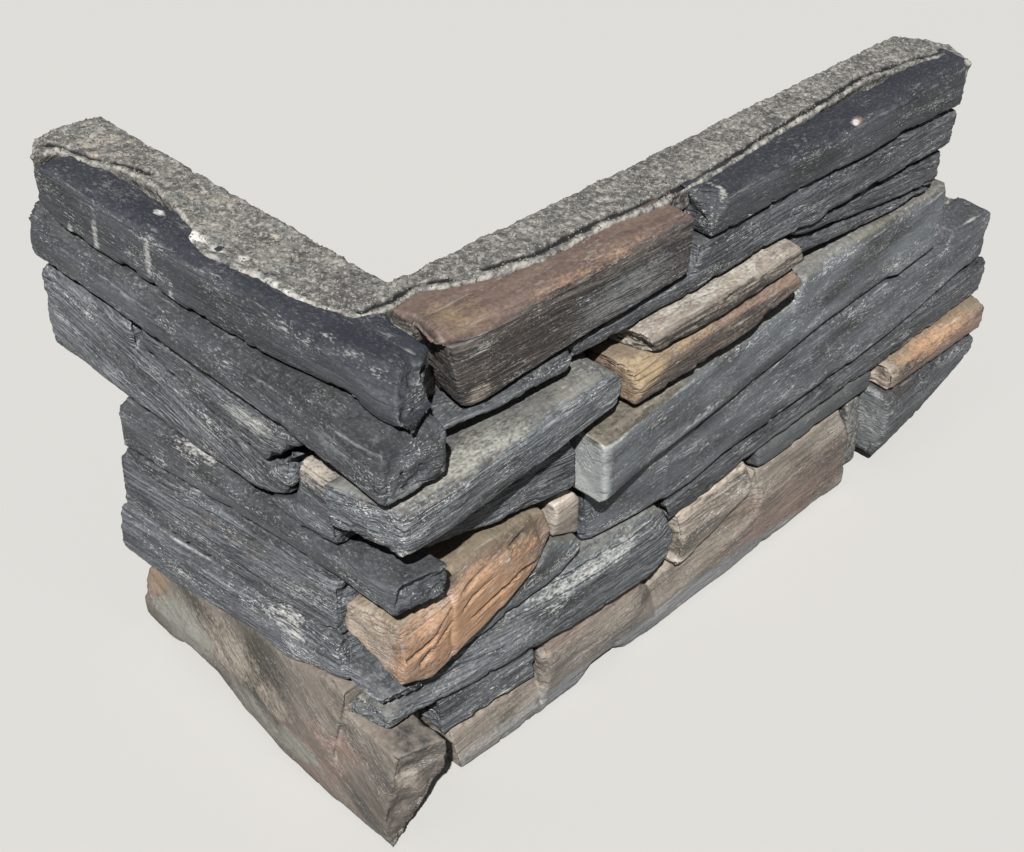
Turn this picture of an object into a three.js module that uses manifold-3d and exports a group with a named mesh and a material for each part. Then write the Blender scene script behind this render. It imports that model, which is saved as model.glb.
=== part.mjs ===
// Corner unit of split-stone wall cladding. Thin strips of slate and quartzite are bonded by hand
// to a cast cement backing, which wraps the outside corner of a wall.
//
// Millimetres, +Z up. The long arm runs along +Y and shows its stones to +X. The short arm runs
// along -X and shows its stones to -Y. While it is built, the two nominal stone faces are the
// planes x = 0 and y = 0 and the unit stands on z = 0. At the end the whole unit is moved so that
// the origin is at the middle of its box, on the bottom.

import * as THREE from 'three';
import { ConvexGeometry } from 'three/addons/geometries/ConvexGeometry.js';
import { mergeVertices } from 'three/addons/utils/BufferGeometryUtils.js';
import Module from 'manifold-3d';

const wasm = await Module();
wasm.setup();

// ---------------------------------------------------------------- driving dimensions

const UNIT_HEIGHT = 200;
const UNIT_THICKNESS = 37;          // nominal stone face to the back of the cement
const CEMENT_FACE = 16;             // nominal stone face to the front of the cement, both arms
const INNER_CORNER_RADIUS = 7;

// The ends are stepped, so that neighbouring units lock together.
const LONG_ARM_UPPER = 336;
const LONG_ARM_LOWER = 384;
const LONG_ARM_STEP_HEIGHT = 109;
const SHORT_ARM_UPPER = 194;
const SHORT_ARM_LOWER = 146;
const SHORT_ARM_STEP_HEIGHT = 117;

const HALF_JOINT = 0.25;            // half the gap left in the joint between two stones
const STONE_BACK = CEMENT_FACE - 0.3;
const STATION_SPACING = 22;         // length of stone between two cross-sections
const END_ZONE = 6;                 // no cross-section comes closer to an end than this
const THINNEST_TIP = 1.2;
const FACE_ROUGHNESS = 1.1;         // greatest depth of a hollow split into a stone's face
const END_RAGGEDNESS = 2.2;         // greatest depth of a break in a stone's end
const BEVEL_SHARE = 0.8;            // most of a stone's height that its two bevels may take

// Mortar pressed out between the last two stones of the bottom course, as [y, z] corners.
const MORTAR_PLUG = [[288, 44], [299, 44], [306, 22], [306, 3], [296, 3], [295, 22]];
const MORTAR_PLUG_FACE = -1;        // its front, behind the nominal stone face
const JOINED_DEPTH = 3;             // how far each piece of the casting runs into the next

// ---------------------------------------------------------------- bed joints
//
// A bed joint is the line between one stone and the next above it: [position along the arm, height].
// Positions along the long arm are y, and along the short arm x. The outer corner is at 0.

const TOP = [[-200, UNIT_HEIGHT], [400, UNIT_HEIGHT]];

const LONG = {
  underCapStones: [[18, 168], [45, 167], [100, 170.5], [153, 172], [157, 182], [220, 182],
    [260, 180], [290, 181], [336, 179]],
  underSecondCourse: [[20, 160], [60, 158.5], [87, 157.5], [90, 161], [120, 161], [218, 162],
    [336, 160]],
  underUpperLens: [[214, 160], [230, 155], [250, 152], [280, 148], [310, 145], [336, 141]],
  underLowerLens: [[214, 149], [222, 147], [250, 144], [280, 141], [300, 140], [336, 139]],
  underPaleStrip: [[116, 151.5], [165, 152], [218, 153]],
  underRustStrip: [[110, 134.5], [150, 136], [185, 138], [200, 142], [216, 143]],
  cornerStripTop: [[-10, 157], [115, 157]],
  underCornerStrip: [[-10, 136], [20, 135], [60, 134.5], [115, 135.5]],
  greyStripTop: [[92, 129], [110, 131], [221, 131], [227, 141], [300, 139.5], [342, 138]],
  underGreyStrip: [[90, 101], [147, 101.5], [220, 103.5], [300, 106], [310, 103.5], [347, 106],
    [351, 112], [390, 111]],
  roughWedgeTop: [[18, 131], [96, 133]],
  underRoughWedge: [[18, 112], [42, 112], [57, 109.5], [72, 107], [96, 104]],
  rustCornerTop: [[-8, 99], [14, 103], [25, 108], [50, 108.5], [70, 105], [82, 101.5]],
  underRustCorner: [[-8, 76], [2, 74], [12, 66.5], [24, 69], [34, 70.5], [43, 71], [52, 73],
    [62, 76], [72, 80.5], [77, 88], [80, 99]],
  pinkChipTop: [[74, 103], [98, 101]],
  underPinkChip: [[80, 87], [84, 86], [93, 82], [101, 77.5]],
  flapTop: [[24, 69], [34, 70.5], [43, 71], [52, 73], [62, 76], [72, 80.5], [77, 87],
    [84, 86], [93, 82], [101, 77.5]],
  underFlap: [[24, 60], [41, 62], [52, 63.5], [65, 65], [77, 66.5], [87, 67.5], [93, 70],
    [102, 77]],
  underDarkStrip: [[96, 71], [107, 70], [133, 68.5], [146, 68], [151, 66], [165, 66], [185, 69],
    [250, 70], [310, 72], [340, 77], [370, 81], [395, 83]],
  underSixthCourse: [[150, 50], [185, 52], [205, 55], [250, 57.5], [310, 58], [350, 60],
    [400, 62]],
  underPaleGreyStrip: [[210, 45], [240, 44], [270, 46], [310, 46]],
  pointedStripTop: [[-6, 52], [17, 58.5], [24, 60], [41, 62], [52, 63.5], [65, 65], [77, 66.5],
    [87, 67.5], [93, 70], [107, 70], [133, 68.5], [146, 68], [160, 56]],
  underPointedStrip: [[-6, 46], [45, 41], [91, 37], [139, 33], [160, 33]],
  underSmallDarkStrip: [[10, 20], [35, 20.5], [84, 18]],
  bottomStripTop: [[24, 19.5], [79, 17.5], [83, 36], [139, 32.5], [148, 22], [182, 28], [215, 37],
    [219, 44], [240, 44], [300, 44]],
  bottomStripFoot: [[24, 0], [100, 0], [108, 6], [122, 6], [130, 0], [300, 0]],
  underBeigeStone: [[146, 22.5], [182, 28], [215, 37.5]],
  underRustEndStone: [[296, 45], [390, 45]],
  endStoneFoot: [[296, 4], [335, 9], [352, 12], [382, 21], [392, 29]],
};

const SHORT = {
  underTop: [[-190, 181], [-172, 176], [-100, 176.5], [-60, 178], [-30, 182], [20, 184]],
  underSecond: [[-195, 157.5], [-100, 159], [-50, 160.5], [-10, 160.5], [20, 159]],
  underSplitWedge: [[-130, 148], [-96, 142], [-66, 137], [-56, 136], [-46, 144], [-34, 154]],
  underLaminated: [[-190, 118], [-143, 118], [-115, 117], [-85, 118], [-61, 119], [-41, 129],
    [-30, 135]],
  laminatedTop: [[-190, 157], [-130, 157.5], [-128, 148], [-96, 142], [-66, 137], [-56, 136],
    [-46, 144], [-34, 150]],
  dustyChipTop: [[-62, 118.5], [-58, 120], [-41, 128.5], [-38.5, 129.5], [-37, 150], [-14, 151]],
  fourthTop: [[-150, 116], [-118, 115.5], [-88, 117], [-72, 113], [-57, 116], [-20, 121],
    [-8, 125], [20, 124]],
  underFourth: [[-150, 90], [-120, 94], [-80, 100], [-40, 105], [0, 109], [20, 110]],
  underFifth: [[-156, 61], [-112, 65], [-60, 70], [-30, 76], [-16, 79]],
  sixthTop: [[-156, 61], [-112, 65], [-60, 70], [-30, 76], [-21, 77], [-18, 68], [8, 64.5]],
  underSixth: [[-156, 36], [-118, 38], [-98, 42], [-70, 46], [-50, 46], [-28, 54], [-19, 57],
    [-17, 59], [8, 59]],
  bottomStoneFoot: [[-150, 2], [-130, 1], [-115, 5], [-95, 4], [-80, 0], [30, 0]],
  bottomStoneTop: [[-156, 36], [-118, 38], [-98, 42], [-70, 46], [-50, 46], [-28, 53], [-19, 52],
    [-17, 43], [24, 42]],
};

// ---------------------------------------------------------------- broken corners
//
// Each break takes away the solid that its corner points [x, y, z] enclose.

const TOP_STRIP_BREAK = [[-50, -1, 201], [15, -1, 185], [15, 10, 201], [15, -1, 201]];
const BOTTOM_STONE_BREAK = [[17, -12, -1], [17, 17, 30], [-28, 17, -1], [40, 17, -1]];
const RUST_CORNER_BREAK = [[12, -10, 60], [12, -10, 76], [-18, -10, 60], [-18, -10, 91],
  [12, 17, 60], [12, 17, 66], [-18, 17, 60], [-18, 17, 82]];

// ---------------------------------------------------------------- stones
//
// from, to      the stone's two ends along its arm
// floor, roof   the bed joints under and over it
// face          how far its front stands out of the nominal face: [position, distance]
// brow, foot    bevels along the upper and lower front arris: [height, depth]
// lean          how far the start and the end slant: the bottom is that much further along
// skew          how far the front of the start and of the end is further along than the back
// broken        corner points of the solid that has broken away from it

const DARK_SLATE = { color: 0x43484f, roughness: 0.72 };
const NAVY_SLATE = { color: 0x3a4250, roughness: 0.6 };
const GREY_QUARTZITE = { color: 0x5f666b, roughness: 0.75 };
const PALE_SAWN_GREY = { color: 0x8d9596, roughness: 0.8 };
const BROWN_QUARTZITE = { color: 0x7a675a, roughness: 0.78 };
const BEIGE_QUARTZITE = { color: 0xa3978a, roughness: 0.82 };
const RUST_QUARTZITE = { color: 0xa9764c, roughness: 0.8 };
const CEMENT = { color: 0x8f8c86, roughness: 0.95 };

const SHORT_ARM_STONES = [
  { name: 'short_arm_top_strip', from: -187, to: 5, floor: SHORT.underTop, roof: TOP,
    face: [[-187, 0], [-100, 1], [11, 0]], brow: [2, 3], lean: [3, 12], skew: [-2, 4],
    broken: TOP_STRIP_BREAK, finish: NAVY_SLATE },
  { name: 'short_arm_second_strip', from: -190, to: 13, floor: SHORT.underSecond,
    roof: SHORT.underTop, face: [[-184, 4], [-100, 5.5], [-50, 7], [13, 10]], brow: [4, 5],
    foot: [2, 1], lean: [2, -3], skew: [2, 0], finish: DARK_SLATE },
  { name: 'short_arm_split_wedge', from: -127, to: -35, floor: SHORT.underSplitWedge,
    roof: SHORT.underSecond, face: [[-127, 2], [-60, 3.5], [-35, 4]], brow: [3, 2], lean: [0, -8],
    finish: DARK_SLATE },
  { name: 'short_arm_laminated_strip', from: -187, to: -43, floor: SHORT.underLaminated,
    roof: SHORT.laminatedTop, face: [[-187, 3], [-100, 3], [-34, 3]], brow: [3, 1], foot: [5, 2],
    lean: [-3, -3], finish: GREY_QUARTZITE },
  { name: 'short_arm_dusty_chip', from: -59, to: -18, floor: SHORT.fourthTop,
    roof: SHORT.dustyChipTop, face: [[-59, 2], [-33, 6], [-18, 6]], brow: [2, 2], foot: [6, 2],
    finish: GREY_QUARTZITE },
  { name: 'short_arm_fourth_strip', from: -146, to: 14, floor: SHORT.underFourth,
    roof: SHORT.fourthTop, face: [[-146, 2], [-60, 3], [14, 5]], brow: [3, 2], foot: [2, 1],
    lean: [-2, -3], skew: [0, -3], finish: DARK_SLATE },
  { name: 'short_arm_fifth_strip', from: -149, to: -21, floor: SHORT.underFifth,
    roof: SHORT.underFourth, face: [[-149, 3], [-60, 3], [-21, 2]], brow: [2, 2], lean: [-2, 4],
    finish: DARK_SLATE },
  { name: 'short_arm_sixth_strip', from: -152, to: 4, floor: SHORT.underSixth,
    roof: SHORT.sixthTop, face: [[-152, 5], [-70, 4], [4, 3]], brow: [4, 2], foot: [4, 2],
    lean: [2, -4], skew: [0, -4], finish: DARK_SLATE },
  { name: 'short_arm_bottom_stone', from: -147, to: 15, floor: SHORT.bottomStoneFoot,
    roof: SHORT.bottomStoneTop,
    face: [[-147, 2], [-90, 4], [-50, 9], [15, 11]], brow: [26, 7], foot: [5, 2], lean: [0, 3],
    skew: [0, -4], broken: BOTTOM_STONE_BREAK, finish: BEIGE_QUARTZITE },
];

const LONG_ARM_STONES = [
  { name: 'long_arm_brown_cap_stone', from: 32, to: 151, floor: LONG.underCapStones, roof: TOP,
    face: [[24, 0], [60, 1.5], [151, 1]], brow: [3, 3], foot: [3, 2], lean: [20, 3], skew: [-4, 2],
    finish: BROWN_QUARTZITE },
  { name: 'long_arm_navy_cap_stone', from: 159, to: 334, floor: LONG.underCapStones, roof: TOP,
    face: [[155, 0], [334, 1]], brow: [2, 3], lean: [4, 0], skew: [1, -2], finish: NAVY_SLATE },
  { name: 'long_arm_tucked_stone', from: 21, to: 87, floor: LONG.underSecondCourse,
    roof: LONG.underCapStones, face: [[21, -2], [50, 1], [87, 1]], brow: [2, 2], lean: [0, -2],
    skew: [2, 0], finish: DARK_SLATE },
  { name: 'long_arm_second_strip', from: 90, to: 332, floor: LONG.underSecondCourse,
    roof: LONG.underCapStones, face: [[90, -2], [160, 0], [332, 0]], brow: [2, 1],
    finish: DARK_SLATE },
  { name: 'long_arm_upper_lens', from: 219, to: 330, floor: LONG.underUpperLens,
    roof: LONG.underSecondCourse, face: [[219, -2], [330, -1]], brow: [1, 1],
    finish: DARK_SLATE },
  { name: 'long_arm_lower_lens', from: 219, to: 326, floor: LONG.underLowerLens,
    roof: LONG.underUpperLens, face: [[219, -2], [326, -2]], brow: [1, 1], finish: DARK_SLATE },
  { name: 'long_arm_pale_strip', from: 121, to: 216, floor: LONG.underPaleStrip,
    roof: LONG.underSecondCourse, face: [[121, 7], [160, 9], [215, 8]], brow: [2, 2],
    foot: [2, 1], lean: [3, 2], skew: [5, 2], finish: BEIGE_QUARTZITE },
  { name: 'long_arm_rust_strip', from: 114, to: 213, floor: LONG.underRustStrip,
    roof: LONG.underPaleStrip, face: [[114, 9], [160, 10], [213, 10]], brow: [6, 5],
    foot: [2, 1], lean: [2, 2], skew: [1, 2], finish: RUST_QUARTZITE },
  { name: 'long_arm_corner_strip', from: -8, to: 111, floor: LONG.underCornerStrip,
    roof: LONG.cornerStripTop, face: [[-8, 14], [10, 15], [55, 11], [111, 6]], brow: [3, 2],
    foot: [3, 2], lean: [2, 0], skew: [6, 0], finish: GREY_QUARTZITE },
  { name: 'long_arm_rough_wedge', from: 20, to: 92, floor: LONG.underRoughWedge,
    roof: LONG.roughWedgeTop, face: [[20, -5], [42, 1], [92, 3]], brow: [8, 3], foot: [3, 2],
    lean: [0, 2], finish: GREY_QUARTZITE },
  { name: 'long_arm_grey_strip', from: 95, to: 340, floor: LONG.underGreyStrip,
    roof: LONG.greyStripTop, face: [[95, 13], [116, 11], [138, 8.5], [170, 6.5], [220, 3.5],
      [250, 2], [340, 0]], brow: [2, 3], foot: [2, 2], lean: [1, -3], finish: GREY_QUARTZITE },
  { name: 'long_arm_rust_corner_stone', from: -3, to: 79, floor: LONG.underRustCorner,
    roof: LONG.rustCornerTop, face: [[-3, 10], [12, 10], [45, 7], [79, 4]], brow: [9, 5],
    foot: [4, 2], lean: [-1, -3], skew: [3, 0], broken: RUST_CORNER_BREAK, finish: RUST_QUARTZITE },
  { name: 'long_arm_pink_chip', from: 83, to: 98, floor: LONG.underPinkChip,
    roof: LONG.pinkChipTop, face: [[83, 1], [98, 1]], brow: [3, 1], lean: [0, 3],
    finish: BEIGE_QUARTZITE },
  { name: 'long_arm_grey_flap', from: 28, to: 98, floor: LONG.underFlap, roof: LONG.flapTop,
    face: [[28, 2], [98, 4]], brow: [2, 1], foot: [2, 1], lean: [0, -3], finish: GREY_QUARTZITE },
  { name: 'long_arm_dark_strip', from: 101, to: 385, floor: LONG.underDarkStrip,
    roof: LONG.underGreyStrip, face: [[98, -2], [108, 3], [160, 3], [385, 2]], brow: [2, 1],
    foot: [3, 2], lean: [4, 2], finish: DARK_SLATE },
  { name: 'long_arm_sixth_strip', from: 154, to: 392, floor: LONG.underSixthCourse,
    roof: LONG.underDarkStrip, face: [[154, 1], [250, 2], [392, 3]], brow: [3, 1], foot: [2, 1],
    lean: [8, 3], finish: DARK_SLATE },
  { name: 'long_arm_pale_grey_strip', from: 216, to: 304, floor: LONG.underPaleGreyStrip,
    roof: LONG.underSixthCourse, face: [[216, 1], [304, 1]], brow: [2, 1], lean: [1, 1],
    finish: PALE_SAWN_GREY },
  { name: 'long_arm_pointed_strip', from: -2, to: 152, floor: LONG.underPointedStrip,
    roof: LONG.pointedStripTop, face: [[-2, 2], [45, 5], [91, 7], [152, 8]], brow: [10, 6],
    foot: [3, 3], lean: [-2, 5], skew: [3, 0], finish: GREY_QUARTZITE },
  { name: 'long_arm_small_dark_strip', from: 26, to: 77, floor: LONG.underSmallDarkStrip,
    roof: LONG.underPointedStrip, face: [[26, 1], [77, 3]], brow: [2, 1], foot: [2, 1],
    lean: [6, 4], finish: DARK_SLATE },
  { name: 'long_arm_beige_stone', from: 161, to: 211, floor: LONG.underBeigeStone,
    roof: LONG.underSixthCourse, face: [[161, 5], [214, 4]], brow: [12, 4], foot: [2, 1],
    lean: [-2, 4], finish: BEIGE_QUARTZITE },
  { name: 'long_arm_bottom_strip', from: 33, to: 288, floor: LONG.bottomStripFoot,
    roof: LONG.bottomStripTop, face: [[33, 5], [150, 6], [288, 5]], brow: [14, 6], foot: [3, 2],
    lean: [3, 8], finish: BROWN_QUARTZITE },
  { name: 'long_arm_rust_end_stone', from: 306, to: 388, floor: LONG.underRustEndStone,
    roof: LONG.underSixthCourse, face: [[306, 9], [388, 10]], brow: [3, 3], foot: [2, 1],
    lean: [1, 0], finish: RUST_QUARTZITE },
  { name: 'long_arm_end_stone', from: 305, to: 385, floor: LONG.endStoneFoot,
    roof: LONG.underRustEndStone, face: [[305, 11], [385, 9]], brow: [3, 2], foot: [14, 5],
    lean: [7, -2], finish: DARK_SLATE },
];

// ---------------------------------------------------------------- helpers

// Value of a line given as [position, value] points.
function along(line, position) {
  if (position <= line[0][0]) return line[0][1];
  for (let i = 1; i < line.length; i += 1) {
    const [endPosition, endValue] = line[i];
    if (position > endPosition) continue;
    const [startPosition, startValue] = line[i - 1];
    const share = (position - startPosition) / (endPosition - startPosition);
    return THREE.MathUtils.lerp(startValue, endValue, share);
  }
  return line[line.length - 1][1];
}

function positionsOnly(geometry) {
  geometry.deleteAttribute('normal');
  geometry.deleteAttribute('uv');
  return mergeVertices(geometry);
}

function toManifold(geometry) {
  const bare = positionsOnly(geometry);
  const mesh = new wasm.Mesh({
    numProp: 3,
    vertProperties: bare.attributes.position.array,
    triVerts: new Uint32Array(bare.index.array),
  });
  return new wasm.Manifold(mesh);
}

function fromManifold(solid) {
  const mesh = solid.getMesh();
  const geometry = new THREE.BufferGeometry();
  geometry.setAttribute('position', new THREE.BufferAttribute(mesh.vertProperties, 3));
  geometry.setIndex(new THREE.BufferAttribute(mesh.triVerts, 1));
  return geometry;
}

function named(name, geometry, finish) {
  geometry.computeVertexNormals();
  const material = new THREE.MeshStandardMaterial({ ...finish, metalness: 0, flatShading: true });
  const mesh = new THREE.Mesh(geometry, material);
  mesh.name = name;
  return mesh;
}

// ---------------------------------------------------------------- one split stone

// Where a stone has cross-sections: at its ends, at each bend of its two bed joints, and between
// these wherever the next one would be far away. So stones that share a joint bend alike.
function stationPositions({ from, to, floor, roof }) {
  const bends = [...floor, ...roof].map(([position]) => position)
    .filter((position) => position > from + END_ZONE && position < to - END_ZONE);
  const corners = [from, ...new Set(bends.sort((a, b) => a - b)), to];
  const stations = [from];
  for (let i = 1; i < corners.length; i += 1) {
    const steps = Math.max(1, Math.round((corners[i] - corners[i - 1]) / STATION_SPACING));
    for (let step = 1; step <= steps; step += 1) {
      stations.push(THREE.MathUtils.lerp(corners[i - 1], corners[i], step / steps));
    }
  }
  return stations;
}

// A box of cross-sections is bent between the two bed joints. Each cross-section has a flat back,
// a split front and a bevel along both front arrises. Roughness only ever takes stone away, so a
// stone stays clear of its neighbours.
function stoneGeometry(stone, place, seed) {
  const { floor, roof, face } = stone;
  const brow = stone.brow ?? [1, 1];
  const foot = stone.foot ?? [1, 1];
  const lean = stone.lean ?? [0, 0];
  const skew = stone.skew ?? [0, 0];
  const stations = stationPositions(stone);
  const last = stations.length - 1;
  const box = positionsOnly(new THREE.BoxGeometry(1, 1, 3, last, 1, 3));
  const points = box.attributes.position;

  // Numbers from 0 to 1, drawn from a seed of the stone's own, so every build splits it alike.
  const chance = THREE.MathUtils.seededRandom;
  chance(seed);

  for (let i = 0; i < points.count; i += 1) {
    // The box runs backwards along the arm, which keeps its faces turned outwards.
    const station = Math.round((0.5 - points.getX(i)) * last);
    const atFront = points.getY(i) > 0;
    const level = Math.round(points.getZ(i) + 1.5);

    let position = stations[station];
    if (station === 0 || station === last) {
      const end = station === 0 ? 0 : 1;
      position += lean[end] * (0.5 - level / 3) + skew[end] * (atFront ? 0.5 : -0.5);
      position += (end === 0 ? 1 : -1) * chance() * END_RAGGEDNESS;
    }

    const low = along(floor, position) + HALF_JOINT;
    const high = Math.max(along(roof, position) - HALF_JOINT, low + THINNEST_TIP);
    const bevelScale = Math.min(1, BEVEL_SHARE * (high - low) / (brow[0] + foot[0]));
    const heights = [low, low + foot[0] * bevelScale, high - brow[0] * bevelScale, high];
    const setBacks = [foot[1], 0, 0, brow[1]];
    const front = along(face, position) - setBacks[level] - chance() * FACE_ROUGHNESS;
    const outward = atFront ? front : -STONE_BACK;
    points.setXYZ(i, ...place(position, outward, heights[level]));
  }
  return box;
}

// Where a point of a stone lies, from its position along the arm, distance outward and height.
const onLongArm = (position, outward, height) => [outward, position, height];
const onShortArm = (position, outward, height) => [position, -outward, height];

function withoutBrokenCorner(geometry, corners) {
  const points = corners.map((corner) => new THREE.Vector3(...corner));
  return fromManifold(toManifold(geometry).subtract(toManifold(new ConvexGeometry(points))));
}

function splitStone(stone, place, seed) {
  const whole = stoneGeometry(stone, place, seed);
  const geometry = stone.broken ? withoutBrokenCorner(whole, stone.broken) : whole;
  return named(stone.name, geometry, stone.finish);
}

// ---------------------------------------------------------------- cement backing

// A box given by two opposite corners.
function block(lowest, highest) {
  const size = highest.map((value, axis) => value - lowest[axis]);
  const middle = highest.map((value, axis) => (value + lowest[axis]) / 2);
  return toManifold(new THREE.BoxGeometry(...size).translate(...middle));
}

// The part of the L that runs through the full height, cast as one L-shaped prism.
function cementCore() {
  const plan = new THREE.Shape();
  plan.moveTo(-CEMENT_FACE, CEMENT_FACE);
  plan.lineTo(-CEMENT_FACE, LONG_ARM_UPPER);
  plan.lineTo(-UNIT_THICKNESS, LONG_ARM_UPPER);
  plan.lineTo(-UNIT_THICKNESS, UNIT_THICKNESS + INNER_CORNER_RADIUS);
  plan.absarc(-UNIT_THICKNESS - INNER_CORNER_RADIUS, UNIT_THICKNESS + INNER_CORNER_RADIUS,
    INNER_CORNER_RADIUS, 0, -Math.PI / 2, true);
  plan.lineTo(-SHORT_ARM_LOWER, UNIT_THICKNESS);
  plan.lineTo(-SHORT_ARM_LOWER, CEMENT_FACE);
  const settings = { depth: UNIT_HEIGHT, bevelEnabled: false, curveSegments: 5 };
  return toManifold(new THREE.ExtrudeGeometry(plan, settings));
}

function mortarPlug() {
  const outline = new THREE.Shape(MORTAR_PLUG.map(([y, z]) => new THREE.Vector2(y, z)));
  const root = -CEMENT_FACE - JOINED_DEPTH;
  const settings = { depth: MORTAR_PLUG_FACE - root, bevelEnabled: false };
  const plug = new THREE.ExtrudeGeometry(outline, settings);
  // The outline's two axes become Y and Z, and it is pushed out along +X.
  plug.applyMatrix4(new THREE.Matrix4().set(
    0, 0, 1, root,
    1, 0, 0, 0,
    0, 1, 0, 0,
    0, 0, 0, 1,
  ));
  return toManifold(plug);
}

function cementBacking() {
  const upperShortEnd = block([-SHORT_ARM_UPPER, CEMENT_FACE, SHORT_ARM_STEP_HEIGHT],
    [-SHORT_ARM_LOWER + JOINED_DEPTH, UNIT_THICKNESS, UNIT_HEIGHT]);
  const lowerLongEnd = block([-UNIT_THICKNESS, LONG_ARM_UPPER - JOINED_DEPTH, 0],
    [-CEMENT_FACE, LONG_ARM_LOWER, LONG_ARM_STEP_HEIGHT]);
  const solid = cementCore().add(upperShortEnd).add(lowerLongEnd).add(mortarPlug());
  return named('cement_backing', fromManifold(solid), CEMENT);
}

// ---------------------------------------------------------------- the unit

const unit = new THREE.Group();
unit.add(cementBacking());
SHORT_ARM_STONES.forEach((stone, index) => {
  unit.add(splitStone(stone, onShortArm, index + 1));
});
LONG_ARM_STONES.forEach((stone, index) => {
  unit.add(splitStone(stone, onLongArm, SHORT_ARM_STONES.length + index + 1));
});

const box = new THREE.Box3().setFromObject(unit);
const middle = box.getCenter(new THREE.Vector3());
unit.position.set(-middle.x, -middle.y, -box.min.z);

export default unit;
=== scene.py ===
from math import cos, radians, sin
from typing import NamedTuple

import bmesh
import bpy
import numpy as np
from bpy.props import FloatProperty, FloatVectorProperty, PointerProperty
from mathutils import Matrix, Vector


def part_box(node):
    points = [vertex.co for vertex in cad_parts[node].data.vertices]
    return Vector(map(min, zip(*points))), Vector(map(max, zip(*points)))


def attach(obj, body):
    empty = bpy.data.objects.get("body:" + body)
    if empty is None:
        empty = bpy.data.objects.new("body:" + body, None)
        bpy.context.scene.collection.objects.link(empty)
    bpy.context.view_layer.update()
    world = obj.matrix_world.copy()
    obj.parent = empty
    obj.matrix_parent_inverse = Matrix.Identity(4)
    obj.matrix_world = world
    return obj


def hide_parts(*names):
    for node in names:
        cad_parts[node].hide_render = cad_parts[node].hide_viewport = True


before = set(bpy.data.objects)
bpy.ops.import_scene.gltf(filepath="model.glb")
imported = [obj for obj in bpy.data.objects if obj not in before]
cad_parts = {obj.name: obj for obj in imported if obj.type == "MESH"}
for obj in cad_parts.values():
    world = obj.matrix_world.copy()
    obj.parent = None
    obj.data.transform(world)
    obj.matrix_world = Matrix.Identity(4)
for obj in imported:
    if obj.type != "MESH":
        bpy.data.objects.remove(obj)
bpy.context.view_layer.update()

bl_info = {
    "name": "Split-stone corner unit",
    "version": (1, 0, 0),
    "blender": (4, 5, 0),
    "location": "View3D > Sidebar > Corner unit",
    "description": "Stacked strips of slate and quartzite round a corner, on a cement backing",
    "category": "Object",
}

MM = 0.001

# ---------------- places
#
# Points are given in millimetres from the foot of the unit's outer corner. The long arm runs
# along +Y and its stones face +X. The short arm runs along -X and its stones face -Y.

CEMENT_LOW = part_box("cement_backing")[0]
# How far the corner lies from the cement's least x and y, in metres.
CORNER_X, CORNER_Y = 0.194, -0.016
CORNER = Vector((CEMENT_LOW[0] + CORNER_X, CEMENT_LOW[1] + CORNER_Y, 0.0))


def at(x, y, z):
    """A point given in millimetres from the foot of the outer corner."""
    return CORNER + Vector((x, y, z)) * MM


def linear(hex_colour):
    """A colour written as sRGB hex, turned to linear RGBA."""
    channels = []
    for start in (1, 3, 5):
        value = int(hex_colour[start:start + 2], 16) / 255
        channels.append(value / 12.92 if value <= 0.04045 else ((value + 0.055) / 1.055) ** 2.4)
    return (*channels, 1.0)


# ---------------- settings


def depth_setting(name, description, default):
    """A setting in plain millimetres, as the node trees count them."""
    return FloatProperty(name=name, description=description + ", in mm", default=default)


def length_setting(name, description, default):
    """A setting in the scene's own unit of length, from its default in millimetres."""
    return FloatProperty(name=name, description=description, default=default * MM, unit="LENGTH")


class SplitStoneSettings(bpy.types.PropertyGroup):
    """How the strips were split."""

    grain: length_setting("Surface step", "Distance between two points of a stone's surface", 0.8)
    layer_thickness: depth_setting("Layer thickness", "Typical thickness of one layer of stone", 3.2)
    layer_depth: depth_setting("Layer depth", "How far one layer breaks back behind the next", 0.65)
    end_depth: depth_setting("End depth", "How far the layers step back at a broken end", 2.4)
    plate_depth: depth_setting("Plate depth", "Height of the thin plates left on a bed", 0.6)
    chip_depth: depth_setting("Chip depth", "Greatest depth of the chips along an arris", 1.1)
    undulation: depth_setting("Undulation", "Height of the slow waves of a split face", 0.7)
    crack_depth: depth_setting("Crack depth", "Depth of an open crack", 2.2)
    joint_gap: depth_setting("Joint gap", "Widest gap under a strip", 1.9)
    brow_depth: depth_setting("Brow depth", "How far an upper arris is rubbed back", 0.4)


class CementSettings(bpy.types.PropertyGroup):
    """How the backing was cast."""

    backing_grain: length_setting("Backing surface step", "Distance between two points of the backing",
                                  1.6)
    mortar_grain: length_setting("Mortar surface step", "Distance between two points of the mortar bed",
                                 0.9)
    grit_depth: depth_setting("Grit depth", "Height of the sand in the surface", 2.2)
    lump_height: depth_setting("Lump height", "Height of the lumps left by the trowel", 1.8)
    sand_spacing: length_setting("Sand spacing", "Distance between loose grains of sand", 1.9)
    sand_size: length_setting("Sand size", "Radius of the largest grains of sand", 0.5)


class StudioSettings(bpy.types.PropertyGroup):
    """The floor, the lights and the camera."""

    lens: FloatProperty(name="Lens", description="Focal length on a sensor 36 mm wide",
                        default=57.58, unit="CAMERA")
    key_strength: FloatProperty(name="Key light", description="Strength of the main light", default=6.2)
    fill_strength: FloatProperty(name="Fill light", description="Strength of the light from all round",
                                 default=0.16)
    floor_colour: FloatVectorProperty(name="Floor colour", description="Colour of the plain floor",
                                      subtype="COLOR", size=4, default=linear("#b4b2ae"))


# ---------------- nodes


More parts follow.
